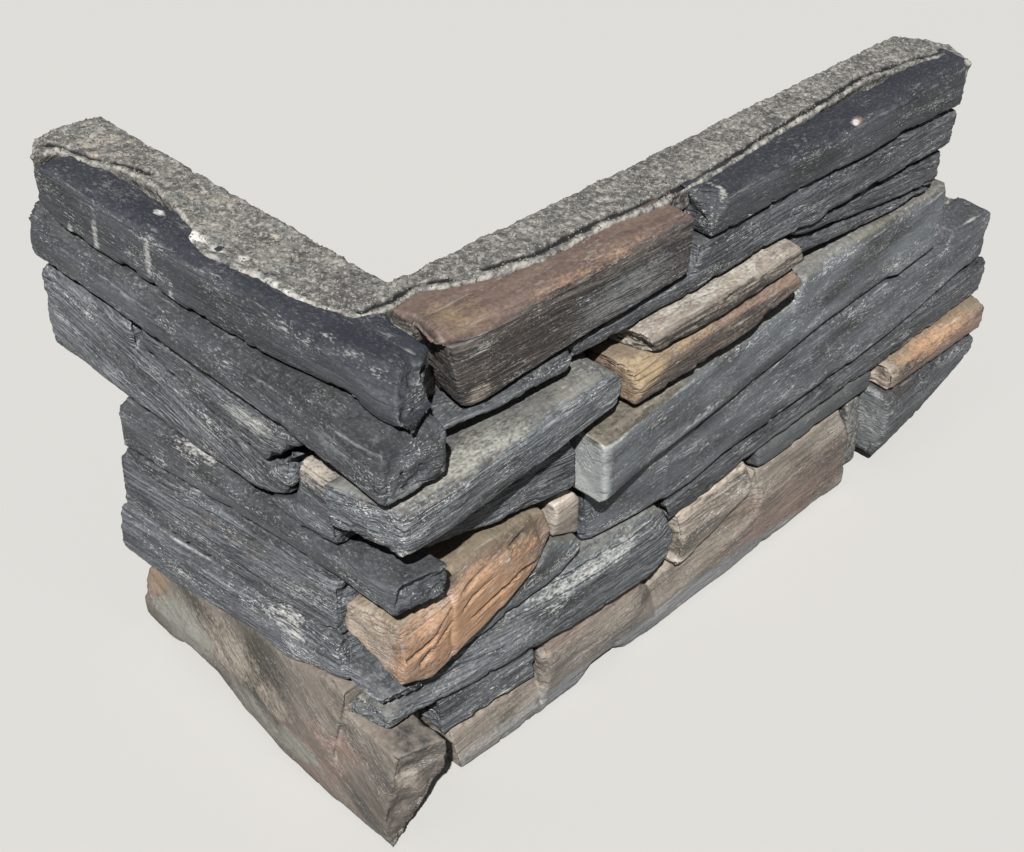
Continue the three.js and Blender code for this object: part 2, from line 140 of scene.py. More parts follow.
def add(tree, kind, inputs=(), out=0, **settings):
    """Adds one node with its settings and links, and returns the output asked for.

    A second word in the kind is its operation, or the way that it interpolates.
    """
    kind, _, way = kind.partition(" ")
    made = tree.nodes.new(kind if "Node" in kind else "ShaderNode" + kind)
    if way:
        setattr(made, "interpolation_type" if kind == "MapRange" else "operation", way)
    for name, value in settings.items():
        setattr(made, name, value)
    given = inputs.items() if isinstance(inputs, dict) else enumerate(inputs)
    for key, value in given:
        if isinstance(value, bpy.types.NodeSocket):
            tree.links.new(value, made.inputs[key])
        else:
            made.inputs[key].default_value = value
    return made.outputs[out]


def mottle(tree, where, size, detail=2.0):
    """An uneven pattern from 0 to 1 whose marks are about this many millimetres each way."""
    scaled = add(tree, "VectorMath MULTIPLY", (where, [1 / side for side in size]))
    return add(tree, "TexNoise", {"Vector": scaled, "Scale": 1.0, "Detail": detail}, "Fac")


def distance_to(tree, wire):
    """Distance in millimetres to the nearest edge of a wire object, or far off if it has none."""
    lines = add(tree, "GeometryNodeObjectInfo", (wire,), "Geometry", transform_space="ORIGINAL")
    nearest = add(tree, "GeometryNodeProximity", (lines,), "Distance", target_element="EDGES")
    edges = add(tree, "GeometryNodeAttributeDomainSize", (lines,), "Edge Count")
    drawn = add(tree, "Math GREATER_THAN", (edges, 0.5))
    millimetres = add(tree, "Math DIVIDE", (nearest, MM))
    return add(tree, "GeometryNodeSwitch", {
        "Switch": drawn, "False": 99.0, "True": millimetres}, input_type="FLOAT")


def keep_on_points(tree, geometry, values):
    """Keeps values on every point, under the names that the materials read."""
    for name, value in values.items():
        kind = "FLOAT_VECTOR" if value.type == "VECTOR" else "FLOAT"
        geometry = add(tree, "GeometryNodeStoreNamedAttribute", {
            "Geometry": geometry, "Name": name, "Value": value}, data_type=kind, domain="POINT")
    return geometry


def begin_tree(name, inputs):
    """A Geometry Nodes tree with inputs listed by their kind, and its sockets for them."""
    tree = bpy.data.node_groups.new(name, "GeometryNodeTree")
    for kind, labels in {"Geometry": ("Geometry",), **inputs}.items():
        for label in labels:
            tree.interface.new_socket(label, in_out="INPUT", socket_type="NodeSocket" + kind)
    tree.interface.new_socket("Geometry", in_out="OUTPUT", socket_type="NodeSocketGeometry")
    return tree, tree.nodes.new("NodeGroupInput").outputs


def end_tree(tree, geometry, material):
    """Ends a tree in real geometry with its material."""
    geometry = add(tree, "GeometryNodeRealizeInstances", (geometry,))
    geometry = add(tree, "GeometryNodeSetMaterial", {"Geometry": geometry, "Material": material})
    group_out = tree.nodes.new("NodeGroupOutput")
    tree.links.new(geometry, group_out.inputs[0])


def run_tree(obj, tree, values):
    """Runs a tree on an object and puts the plain mesh that it makes in the object's place."""
    modifier = obj.modifiers.new(tree.name, "NODES")
    modifier.node_group = tree
    for label, value in values.items():
        modifier[tree.interface.items_tree[label].identifier] = value
    make_plain(obj)


def make_plain(obj):
    """Applies an object's modifiers by taking its finished mesh."""
    bpy.context.view_layer.update()
    finished = obj.evaluated_get(bpy.context.evaluated_depsgraph_get())
    mesh = bpy.data.meshes.new_from_object(finished)
    obj.modifiers.clear()
    old = obj.data
    obj.data = mesh
    bpy.data.meshes.remove(old)
    mesh.name = obj.name


# ---------------- splitting a stone


# Splitting takes this much from a strip on average, in mm, so the strip starts that much larger.
MEAN_DEPTH = 1.0
# The foot of a face is drawn up with its underside over this height, in mm.
JOINT_REACH = 8.0
# The pattern of a layer is taken this far, in mm, from that of the layer under it.
LAYER_STEP = 193.0


def build_splitting_tree():
    """Splits a plain strip: layers along it, plates on its beds, chipped arrises and cracks."""
    tree, given = begin_tree("split_stone", {
        "Vector": ("Along", "Out", "Seed"),
        "Object": ("Arrises", "Upper arrises", "Lower arrises", "Cracks"),
        "Float": ("Slope", "Layer thickness", "Layer depth", "End depth", "Plate depth", "Chip depth",
                  "Undulation", "Crack depth", "Joint gap", "Brow depth", "Streaks", "Tone"),
        "Material": ("Stone",)})

    # Where a point lies in the stone: along it, outward, and up through its layers.
    position = add(tree, "VectorMath SCALE", {
        0: add(tree, "GeometryNodeInputPosition"), "Scale": 1 / MM})
    normal = add(tree, "GeometryNodeInputNormal")
    along = add(tree, "VectorMath DOT_PRODUCT", (position, given["Along"]), "Value")
    outward = add(tree, "VectorMath DOT_PRODUCT", (position, given["Out"]), "Value")
    height = add(tree, "SeparateXYZ", (position,), "Z")
    rise = add(tree, "Math MULTIPLY", (along, given["Slope"]))
    level = add(tree, "Math SUBTRACT", (height, rise))
    bedding = add(tree, "VectorMath ADD", (
        add(tree, "CombineXYZ", (along, outward, level)), given["Seed"]))

    # How much the surface is the stone's face, its end or its bed.
    sides = []
    for direction in (given["Out"], given["Along"], (0.0, 0.0, 1.0)):
        turned = add(tree, "VectorMath DOT_PRODUCT", (normal, direction), "Value")
        either_way = add(tree, "Math ABSOLUTE", (turned,))
        sides.append(add(tree, "MapRange SMOOTHSTEP", (either_way, 0.45, 0.8)))
    face, end, bed = sides

    # Layers: each breaks back by its own amount, and by another past every break along it.
    warp = add(tree, "Math MULTIPLY", (mottle(tree, bedding, (70, 25, 60)), 1.5))
    seeded_level = add(tree, "SeparateXYZ", (bedding,), "Z")
    in_layers = add(tree, "Math DIVIDE", (seeded_level, given["Layer thickness"]))
    layer = add(tree, "Math FLOOR", (add(tree, "Math ADD", (in_layers, warp)),))
    own_depth = add(tree, "TexWhiteNoise", {"W": layer}, "Value", noise_dimensions="1D")
    layer_level = add(tree, "Math MULTIPLY", (layer, LAYER_STEP))
    layer_place = add(tree, "CombineXYZ", (along, outward, layer_level))
    breaks = add(tree, "MapRange", (mottle(tree, layer_place, (28, 28, 28), 3.0), 0.46, 0.54))
    thin_layers = add(tree, "MapRange", (mottle(tree, bedding, (30, 9, 1.5), 3.0), 0.44, 0.56))
    layered = add(tree, "Math MULTIPLY", (own_depth, 0.35))
    layered = add(tree, "Math MULTIPLY_ADD", (breaks, 0.4, layered))
    layered = add(tree, "Math MULTIPLY_ADD", (thin_layers, 0.25, layered))
    on_face = add(tree, "Math MULTIPLY", (face, given["Layer depth"]))
    on_end = add(tree, "Math MULTIPLY", (end, given["End depth"]))
    layer_depth = add(tree, "Math MULTIPLY_ADD", (on_end, 0.35, on_face))

    # Broken ends: shell-shaped hollows about a centimetre across.
    hollows = add(tree, "MapRange", (mottle(tree, bedding, (11, 9, 8), 3.0), 0.36, 0.68))

    # Thin plates on the beds.
    plates = add(tree, "Math SNAP", (mottle(tree, bedding, (34, 12, 200), 3.0), 0.12))
    plate_depth = add(tree, "Math MULTIPLY", (bed, given["Plate depth"]))

    # Arrises: a worn edge all along, with chips here and there.
    to_arris = distance_to(tree, given["Arrises"])
    near = add(tree, "MapRange SMOOTHSTEP", (to_arris, 0.0, 3.0, 1.0, 0.0))
    chipped = add(tree, "MapRange SMOOTHSTEP", (mottle(tree, bedding, (9, 9, 9), 4.0), 0.5, 0.64))
    chips = add(tree, "Math MULTIPLY", (near, chipped))
    worn = add(tree, "MapRange", (to_arris, 0.0, 1.6, 0.2, 0.0))

    # The brow: the upper arris is rubbed back further than the others.
    brow = add(tree, "MapRange SMOOTHSTEP", (
        distance_to(tree, given["Upper arrises"]), 0.0, 3.5, 1.0, 0.0))
    uneven_brow = add(tree, "MapRange", (mottle(tree, bedding, (30, 30, 30), 3.0), 0.35, 0.6, 0.3, 1.0))
    brow = add(tree, "Math MULTIPLY", (brow, uneven_brow))

    # Cracks: a wandering groove wherever a crack line passes.
    wander = add(tree, "Math MULTIPLY_ADD", (
        mottle(tree, bedding, (14, 14, 14)), 1.6, distance_to(tree, given["Cracks"])))
    crack = add(tree, "MapRange SMOOTHSTEP", (wander, 1.1, 1.9, 1.0, 0.0))

    # Slow waves, and the fine unevenness of a split face.
    waves = add(tree, "Math SUBTRACT", (mottle(tree, bedding, (45, 20, 18)), 0.4))
    fine = mottle(tree, bedding, (5, 3, 1.8), 4.0)

    # How far the surface goes in: every pattern times its own greatest depth.
    depth = add(tree, "Math MULTIPLY", (layered, layer_depth))
    for pattern, deepest in (
            (hollows, on_end), (plates, plate_depth), (chips, given["Chip depth"]), (worn, 1.0),
            (brow, given["Brow depth"]), (crack, given["Crack depth"]), (waves, given["Undulation"]),
            (fine, given["Layer depth"])):
        depth = add(tree, "Math MULTIPLY_ADD", (pattern, deepest, depth))
    depth = add(tree, "Math SUBTRACT", (depth, MEAN_DEPTH))

    # The joint: the underside and the foot of the face stand clear of the strip below.
    downward = add(tree, "SeparateXYZ", (normal,), "Z")
    underside = add(tree, "MapRange", (downward, -0.4, -0.8))
    foot = add(tree, "MapRange", (distance_to(tree, given["Lower arrises"]), 0.0, JOINT_REACH, 1.0, 0.0))
    raised = add(tree, "Math MAXIMUM", (underside, foot))
    open_joint = add(tree, "MapRange", (mottle(tree, bedding, (110, 90, 90)), 0.4, 0.6, 0.7, 1.0))
    lift = add(tree, "Math MULTIPLY", (raised, open_joint))
    lift = add(tree, "Math MULTIPLY", (lift, given["Joint gap"]))
    upward = add(tree, "CombineXYZ", {"Z": add(tree, "Math MULTIPLY", (lift, MM))})

    inward = add(tree, "Math MULTIPLY", (depth, -MM))
    offset = add(tree, "VectorMath SCALE", {0: normal, "Scale": inward})
    offset = add(tree, "VectorMath ADD", (offset, upward))
    geometry = keep_on_points(tree, given["Geometry"], {
        "bedding": bedding, "arris": to_arris, "crack": crack, "streaks": given["Streaks"],
        "tone": given["Tone"]})
    geometry = add(tree, "GeometryNodeSetPosition", {"Geometry": geometry, "Offset": offset})
    end_tree(tree, geometry, given["Stone"])
    return tree


# ---------------- finishes


# The colour of chalky flecks, and the near black painted shade inside a crack.
FLECKS, CRACK_SHADE = "#c4c3be", "#141312"


class Colours(NamedTuple):
    """The colours and marks of one kind of split stone. The amounts run from 0 to 1."""

    dark: str
    mid: str
    light: str
    bed: str
    dust: str
    flecks: float
    streaks: float
    bedding: float
    dusting: float


def lay_over(tree, colour, *coats):
    """Lays coats over a colour.

    Each coat is its colour, a pattern, the two levels of the pattern between which it comes up,
    and how much of it then shows, from 0 to 1.
    """
    for above, pattern, low, high, most in coats:
        amount = add(tree, "MapRange", (pattern, low, high, 0.0, most))
        colour = add(tree, "Mix", {0: amount, 6: colour, 7: above}, 2, data_type="RGBA")
    return colour


def own_marks(tree, pattern, share, low, high, most):
    """A coat of a piece's own marks, with edges broken up by a share of a pattern."""
    colour = add(tree, "Attribute", out="Color", attribute_name="mark")
    strength = add(tree, "Attribute", out="Alpha", attribute_name="mark")
    return colour, add(tree, "Math MULTIPLY_ADD", (pattern, share, strength)), low, high, most


def new_material(name):
    """An empty material, its tree, and the place of a point in millimetres."""
    material = bpy.data.materials.new("finish_" + name)
    material.use_nodes = True
    tree = material.node_tree
    tree.nodes.clear()
    metres = add(tree, "TexCoord", out="Object")
    place = add(tree, "VectorMath SCALE", {0: metres, "Scale": 1 / MM})
    return material, tree, place


def finish_material(tree, colour, relief, relief_height, roughness, ior):
    """Ends a material in a rough mineral surface with its fine relief, in millimetres."""
    normal = add(tree, "Bump", {"Strength": 1.0, "Distance": relief_height * MM, "Height": relief})
    surface = add(tree, "BsdfPrincipled", {
        "Base Color": colour, "Roughness": roughness, "IOR": ior, "Normal": normal})
    output = tree.nodes.new("ShaderNodeOutputMaterial")
    tree.links.new(surface, output.inputs["Surface"])


def split_surface(name, colours):
    """A split face: slow clouds of colour, fine layers, chalky flecks, and dust on its beds."""
    material, tree, place = new_material(name)
    dark, mid, light, bed, dust, chalk, crack_shade = map(linear, (*colours[:5], FLECKS, CRACK_SHADE))
    bedding = add(tree, "Attribute", out="Vector", attribute_name="bedding")
    streaks, crack, arris, tone = (
        add(tree, "Attribute", out="Fac", attribute_name=kept)
        for kept in ("streaks", "crack", "arris", "tone"))
    normal = add(tree, "NewGeometry", out="Normal")
    upward = add(tree, "SeparateXYZ", (normal,), "Z")

    # The body of the stone: clouds a few centimetres long, in another colour on its beds.
    clouds = mottle(tree, bedding, (45, 20, 12), 3.0)
    on_bed = add(tree, "Math MULTIPLY_ADD", (mottle(tree, bedding, (12, 5, 3), 3.0), 0.5, upward))

    # Its grain, and the ragged edges of the marks that this one stone has.
    grain = mottle(tree, bedding, (1.6, 1.0, 0.7), 4.0)
    uneven = add(tree, "Math ADD", (mottle(tree, bedding, (7, 4, 1.8), 5.0), grain))

    # Its layers, under a millimetre thick, which show less on its beds.
    layers = mottle(tree, bedding, (18, 5, 0.8), 5.0)
    standing = add(tree, "MapRange", (add(tree, "Math ABSOLUTE", (upward,)), 0.45, 0.75, 1.0, 0.25))
    streaks = add(tree, "Math MULTIPLY", (streaks, standing))
    pale_streaks = add(tree, "Math MULTIPLY", (streaks, colours.streaks))
    dark_streaks = add(tree, "Math MULTIPLY", (streaks, 0.75))
    grainy = add(tree, "Math MULTIPLY_ADD", (streaks, 0.35, 0.2))

    # Partings: long thin lines, pale or dark, where the stone began to split.
    partings = add(tree, "Math SUBTRACT", (mottle(tree, bedding, (80, 30, 5), 3.0), 0.5))
    pale_line = add(tree, "Math ABSOLUTE", (add(tree, "Math ADD", (partings, 0.09)),))
    dark_line = add(tree, "Math ABSOLUTE", (partings,))

    # Chalky flecks, fewer on the beds: scratches and specks in loose clumps.
    flecks = add(tree, "MapRange", (upward, 0.4, 0.8, colours.flecks, 0.3 * colours.flecks))
    clumps = mottle(tree, bedding, (22, 14, 8), 4.0)
    scratches = mottle(tree, bedding, (3.2, 1.3, 0.5), 3.0)
    scratched = add(tree, "Math MULTIPLY_ADD", (clumps, 0.5, scratches))
    specks = mottle(tree, place, (0.7, 0.7, 0.7), 1.0)
    speckled = add(tree, "Math MULTIPLY_ADD", (clumps, 0.5, specks))

    # Cement dust that settled on whatever faces up: drifts with grains in them.
    drifts = add(tree, "Math ADD", (
        mottle(tree, bedding, (24, 6, 24), 5.0), mottle(tree, place, (2.2, 2.2, 2.2), 4.0)))
    settled = add(tree, "Math MULTIPLY", (drifts, add(tree, "MapRange", (upward, 0.3, 0.8))))

    # Rubbed arrises, more in some places than in others.
    rubbed = add(tree, "Math MULTIPLY_ADD", (clumps, 4.0, arris))
    rubbed = add(tree, "Math MULTIPLY_ADD", (grain, 1.5, rubbed))

    colour = lay_over(
        tree, dark, (mid, clouds, 0.34, 0.6, 1.0), (bed, on_bed, 0.6, 1.0, colours.bedding),
        own_marks(tree, uneven, 0.9, 1.05, 1.55, 0.9),
        (light, layers, 0.48, 0.7, pale_streaks), (dark, layers, 0.48, 0.32, dark_streaks),
        (light, grain, 0.52, 0.75, grainy), (dark, grain, 0.48, 0.32, grainy),
        (light, pale_line, 0.014, 0.004, pale_streaks), (dark, dark_line, 0.012, 0.004, dark_streaks),
        (chalk, scratched, 0.87, 0.98, flecks), (chalk, speckled, 0.92, 1.02, flecks),
        # The cracks get a near black painted shade.
        (dust, settled, 0.8, 1.3, colours.dusting), (crack_shade, crack, 0.1, 0.9, 0.8),
        (chalk, rubbed, 2.9, 2.1, 0.4))
    # Each stone's tone scales its colour; on the tucked stone it is raised as painted light.
    colour = add(tree, "VectorMath SCALE", {0: colour, "Scale": tone})

    relief = add(tree, "Math MULTIPLY", (grain, grainy))
    relief = add(tree, "Math MULTIPLY_ADD", (layers, streaks, relief))
    groove = add(tree, "MapRange", (dark_line, 0.0, 0.02, 0.0, streaks))
    relief = add(tree, "Math ADD", (relief, groove))
    finish_material(tree, colour, relief, relief_height=0.7, roughness=0.72, ior=1.55)
    return material


def dark_slate():
    """Dark phyllitic slate, split by hand: nearly black and matt, streaked with grey layers."""
    return split_surface("dark_slate", Colours(
        "#1c1d20", "#4f5155", "#8c8f91", bed="#232427", dust="#8b8a85",
        flecks=0.65, streaks=0.6, bedding=0.7, dusting=0.12))


def navy_slate():
    """Fine blue-black slate: its beds split smooth, so they look plain and dark blue."""
    return split_surface("navy_slate", Colours(
        "#1e2023", "#44474b", "#7b7d80", bed="#1c2029", dust="#858583",
        flecks=0.5, streaks=0.4, bedding=0.95, dusting=0.05))


def grey_quartzite():
    """Grey quartzite: granular, with beige cement dust caught on its rough beds."""
    return split_surface("grey_quartzite", Colours(
        "#202123", "#565a5d", "#939696", bed="#43423e", dust="#9b9484",
        flecks=0.65, streaks=0.5, bedding=0.6, dusting=0.3))


def pale_sawn_quartzite():
    """Fine grey quartzite: plain and smooth, with the pale bloom of a sawn end."""
    return split_surface("pale_sawn_quartzite", Colours(
        "#36393a", "#4c4f50", "#6a6d6c", bed="#4a4b48", dust="#8f8979",
        flecks=0.3, streaks=0.3, bedding=0.6, dusting=0.1))


def brown_quartzite():
    """Brown iron-stained quartzite: ochre and pinkish beds over a dark brown face."""
    return split_surface("brown_quartzite", Colours(
        "#201d1c", "#4b4541", "#83786f", bed="#5f4c44", dust="#9f8e7b",
        flecks=0.6, streaks=0.5, bedding=0.95, dusting=0.2))


def beige_quartzite():
    """Beige micaceous quartzite: thin pale and tan layers, sandy on its beds."""
    return split_surface("beige_quartzite", Colours(
        "#3a362f", "#787066", "#a89e92", bed="#82766b", dust="#b3a899",
        flecks=0.35, streaks=0.6, bedding=0.6, dusting=0.4))


def rust_quartzite():
    """Rust-stained quartzite: orange iron staining along its layers, dark in the cracks."""
    return split_surface("rust_quartzite", Colours(
        "#3f342c", "#8a7262", "#b49c87", bed="#6f6452", dust="#9c907c",
        flecks=0.5, streaks=0.6, bedding=0.6, dusting=0.35))


def cement():
    """Sand and cement mortar, cast rough: grey paste with dark and pale grains of sand."""
    material, tree, place = new_material("cement")
    paste = mottle(tree, place, (14, 14, 14), 4.0)
    # Each grain of sand, about a millimetre across, has a shade of its own.
    shade = add(tree, "TexVoronoi", {"Vector": place, "Scale": 1 / 0.9}, "Color")
    shade = add(tree, "SeparateXYZ", (shade,), "X")
    fine = mottle(tree, place, (2.4, 2.4, 2.4), 6.0)
    # The thin edge against the stones dried pale.
    rim = add(tree, "Attribute", out="Fac", attribute_name="rim")
    rim = add(tree, "Math MULTIPLY_ADD", (mottle(tree, place, (6, 6, 6), 4.0), 4.0, rim))
    crack = add(tree, "Attribute", out="Fac", attribute_name="crack")
    colour = lay_over(
        tree, linear("#545250"), (linear("#72706b"), paste, 0.38, 0.62, 1.0),
        (linear("#45433f"), shade, 0.35, 0.1, 0.55), (linear("#a5a299"), shade, 0.65, 1.0, 0.6),
        (linear("#33322f"), fine, 0.46, 0.34, 0.7), (linear("#b3b0a6"), fine, 0.54, 0.7, 0.5),
        (linear("#b0aca2"), rim, 2.7, 2.0, 0.6),
        own_marks(tree, mottle(tree, place, (4, 4, 4), 4.0), 1.4, 1.0, 1.35, 1.0),
        # Near black painted shade fills the cracks.
        (linear("#0c0b0a"), crack, 0.05, 0.4, 0.97))
    finish_material(tree, colour, fine, relief_height=1.2, roughness=0.9, ior=1.5)
    return material


def loose_sand():
    """Loose sand on the mortar: quartz and dark rock, each grain in a shade of its own."""
    material, tree, place = new_material("loose_sand")
    shade = add(tree, "Attribute", out="Fac", attribute_name="shade")
    colour = lay_over(tree, linear("#393835"), (linear("#716e67"), shade, 0.1, 0.6, 1.0),
                      (linear("#98958c"), shade, 0.8, 1.0, 1.0))
    relief = mottle(tree, place, (0.4, 0.4, 0.4))
    finish_material(tree, colour, relief, relief_height=0.1, roughness=0.7, ior=1.5)
    return material


FINISHES = {make.__name__: make for make in (
    dark_slate, navy_slate, grey_quartzite, pale_sawn_quartzite, brown_quartzite, beige_quartzite,
    rust_quartzite, cement, loose_sand)}


def finish(name):
    """The material of this name, made the first time it is asked for."""
    return bpy.data.materials.get("finish_" + name) or FINISHES[name]()


# ---------------- shapes

# An edge that turns by more than this is an arris. It is an upper or a lower one where one of its
# faces looks up or down by more than these, 1 being straight up.
ARRIS_ANGLE = radians(38)
LOOKS_UP, LOOKS_DOWN = 0.7, -0.5


def new_object(name, data):
    """An object in the scene, with this mesh, camera or light."""
    obj = bpy.data.objects.new(name, data)
    bpy.context.scene.collection.objects.link(obj)
    return obj


def object_of(shape, name):
    """Turns a bmesh into an object."""
    mesh = bpy.data.meshes.new(name)
    shape.to_mesh(mesh)
    shape.free()
    return new_object(name, mesh)


def discard(*wires):
    """Removes the wire objects that a tree measured from."""
    for wire in wires:
        bpy.data.objects.remove(wire)


def wire_object(name, lines):
    """An object of bare edges, through points in metres, that the trees measure from."""
    points = [tuple(point) for line in lines for point in line]
    edges = []
    for line in lines:
        start = edges[-1][1] + 1 if edges else 0
        edges += [(start + step, start + step + 1) for step in range(len(line) - 1)]
    mesh = bpy.data.meshes.new(name)
    mesh.from_pydata(points, edges, [])
    return new_object(name, mesh)


def add_prism(shape, outline, low, high):
    """Adds a closed upright prism over an outline of (x, y) to a bmesh."""
    floor = [shape.verts.new(at(x, y, low)) for x, y in outline]
    roof = [shape.verts.new(at(x, y, high)) for x, y in outline]
    faces = [shape.faces.new(roof), shape.faces.new(floor[::-1])]
    for step in range(len(outline)):
        ahead = (step + 1) % len(outline)
        faces.append(shape.faces.new((floor[step], floor[ahead], roof[ahead], roof[step])))
    bmesh.ops.recalc_face_normals(shape, faces=faces)


def plain_copy(node, name, prisms=()):
    """A merged copy of a plain solid, with prisms (outline, low, high) standing in it.

    Wire objects of the solid's own arrises follow it: all of them, the upper and the lower ones.
    """
    shape = bmesh.new()
    shape.from_mesh(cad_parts[node].data)
    bmesh.ops.remove_doubles(shape, verts=shape.verts, dist=0.01 * MM)
    sharp = [edge for edge in shape.edges if edge.is_manifold and edge.calc_face_angle() > ARRIS_ANGLE]
    upper = [edge for edge in sharp if max(face.normal.z for face in edge.link_faces) > LOOKS_UP]
    lower = [edge for edge in sharp if min(face.normal.z for face in edge.link_faces) < LOOKS_DOWN]
    wires = [wire_object(name + label, [[vert.co.copy() for vert in edge.verts] for edge in edges])
             for label, edges in (("_all", sharp), ("_upper", upper), ("_lower", lower))]
    for outline, low, high in prisms:
        add_prism(shape, outline, low, high)
    return object_of(shape, name), *wires


def resurface(obj, grain):
    """Gives an object an even skin of small faces."""
    remesh = obj.modifiers.new("skin", "REMESH")
    remesh.mode = "VOXEL"
    remesh.voxel_size = grain
    make_plain(obj)


def points_of(obj):
    """An object's points in millimetres from the foot of the outer corner."""
    flat = np.empty(len(obj.data.vertices) * 3)
    obj.data.vertices.foreach_get("co", flat)
    return (flat.reshape(-1, 3) - np.array(CORNER)) / MM


def move_points(obj, points):
    """Puts an object's points where these are, in millimetres from the foot of the corner."""
    placed = points * MM + np.array(CORNER)
    obj.data.vertices.foreach_set("co", placed.ravel())
    obj.data.update()


def paint_marks(obj, marks):
    """Keeps the colour and strength of a piece's own marks on its points."""
    points = points_of(obj)
    painted = np.zeros((len(points), 4))
    for colour, centre, reach, strength in marks:
        distance = np.linalg.norm((points - centre) / reach, axis=1)
        amount = np.clip(1.5 - distance, 0, 1) * strength
        stronger = amount > painted[:, 3]
        painted[stronger, :3] = linear(colour)[:3]
        painted[stronger, 3] = amount[stronger]
    layer = obj.data.attributes.new("mark", "FLOAT_COLOR", "POINT")
    layer.data.foreach_set("color", painted.ravel())


def hand_over(obj, node):
    """Finishes a piece: it rides with the unit and stands for a plain solid."""
    obj.data.shade_smooth()
    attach(obj, "root")
    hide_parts(node)


# ---------------- the stones


class Stone(NamedTuple):
    """One strip: its finish, how rough its layers, ends, beds and arrises are, and its own shape.

    tail: the outline of the part that reaches back under the mortar, seen from above
    cracks: lines through points on the stone
    rounded: edges that are broken round, each by the axis it runs along, its centre in the other
        two coordinates, its radius, and the side of the centre that each coordinate is rounded on
    facets: each by a point of the facet that was split off and the way that it faces
    marks: each by its colour, centre, reach each way and strength
    """

    finish: str
    layers: float = 1.0
    ends: float = 1.0
    plates: float = 1.0
    chips: float = 1.0
    thickness: float = 1.0
    gap: float = 1.0
    waves: float = 1.0
    tilt: float = 0.0
    streaks: float = 1.0
    tone: float = 1.0
    tail: list = ()
    cracks: list = ()
    rounded: list = ()
    facets: list = ()
    marks: list = ()


CHALK, BEIGE, TAN, OCHRE, ORANGE = "#cfcdc6", "#a3988a", "#846f5b", "#857156", "#b88e6b"
PINKISH, OLIVE, UMBER, SLATE = "#846c61", "#3b342a", "#2b221e", "#232426"
STONE_GREY, GREENISH, SAWN, GOLD = "#797c7e", "#8c8b81", "#828583", "#a8916f"

# The stones of each arm, by their names without the arm's.
SHORT_ARM_STONES = {
    "top_strip": Stone(
        "navy_slate", layers=0.5, plates=0.3, gap=1.3, streaks=0.3, tone=0.95,
        tail=[(-34, 14), (-30, 17), (-26.5, 25), (-20, 22.5), (-3, 21.5), (3, 14)],
        cracks=[[(-2, 13, 200), (2.6, 8, 199), (7, 5, 192), (11, 2, 184)],
                [(-2, 12, 199), (5, 9, 192), (11, 8, 183)]],
        rounded=[("y", (-178, 190), 8, (-1, 1))],
        marks=[(CHALK, (-165, 0, 178), (1.6, 3, 5), 0.5), (CHALK, (-148, 0, 184), (1.8, 3, 9), 0.5),
               (CHALK, (-116, 0, 190), (1.8, 3, 8), 0.5), (CHALK, (-104, 0, 180), (2, 3, 2.5), 0.6),
               (CHALK, (-123, 10, 200), (2.2, 1.4, 2), 0.7), (CHALK, (-20, 4, 198), (16, 2, 2), 0.2)]),
    "second_strip": Stone(
        "dark_slate", layers=0.4, gap=1.5, waves=0.6, streaks=0.25, tone=0.95,
        cracks=[[(-6, 0, 178), (2, -3, 175), (9, -4, 172), (13, 0, 170)],
                [(-2, -7, 172), (6, -9, 167), (10, -8, 165), (13, 4, 163)], [(6, 4, 177), (12, 6, 170)]],
        rounded=[("y", (4, 171), 10, (1, 1)), ("y", (6, 159), 8, (1, -1)), ("z", (7, -4), 6, (1, -1))],
        marks=[(STONE_GREY, (-14, -9, 173), (9, 3, 4), 0.5), (CHALK, (10, -2, 152), (8, 8, 2.4), 0.7),
               (SLATE, (-90, -5, 180), (110, 7, 3), 0.85), (STONE_GREY, (12, -2, 163), (4, 8, 6), 0.6)]),
    "split_wedge": Stone(
        "dark_slate", ends=0.4, gap=1.5, streaks=0.8,
        rounded=[("y", (-52, 152), 9, (1, -1))],
        marks=[(CHALK, (-62, -3, 151), (14, 4, 4), 0.5)]),
    "laminated_strip": Stone("dark_slate", thickness=0.7, tilt=-0.12, tone=1.2),
    "dusty_chip": Stone(
        "dark_slate", layers=1.2, streaks=0.6, tone=1.1,
        marks=[(BEIGE, (-34, -3, 150), (22, 8, 5), 0.65), (CHALK, (-26, -4, 150), (8, 6, 3), 0.5)]),
    "fourth_strip": Stone(
        "dark_slate", layers=0.5, ends=1.5, gap=1.2, streaks=0.3,
        marks=[(CHALK, (-100, 0, 116), (14, 3, 2), 0.35)]),
    "fifth_strip": Stone(
        "dark_slate", streaks=0.8, tone=1.08,
        marks=[(TAN, (-78, -2, 89), (40, 6, 2.5), 0.2)]),
    "sixth_strip": Stone(
        "dark_slate", streaks=0.6, tone=1.4,
        marks=[(CHALK, (-47, -3, 68), (12, 4, 5), 0.35)]),
    "bottom_stone": Stone(
        "beige_quartzite", layers=0.6, thickness=2.0, gap=0.0, waves=3.0, tilt=-0.35, streaks=0.2,
        tone=0.85,
        marks=[(TAN, (-141, 1, 26), (9, 8, 8), 0.8), (GREENISH, (-116, 0, 16), (22, 8, 10), 0.8),
               (GREENISH, (-60, -4, 10), (24, 8, 8), 0.6), (BEIGE, (-56, -7, 24), (16, 6, 6), 0.4),
               (GREENISH, (-38, -8, 14), (14, 6, 6), 0.7), (PINKISH, (-20, -8, 30), (16, 6, 5), 0.55),
               (BEIGE, (-88, -3, 24), (24, 8, 10), 0.5), (PINKISH, (-30, -5, 14), (30, 8, 12), 0.5),
               (UMBER, (6, -4, 18), (24, 9, 12), 0.45), (BEIGE, (11, 0, 30), (5, 5, 4), 0.7),
               (SLATE, (8, 8, 44), (12, 12, 5), 0.6), (SLATE, (14, 20, 14), (6, 10, 16), 0.7)]),
}

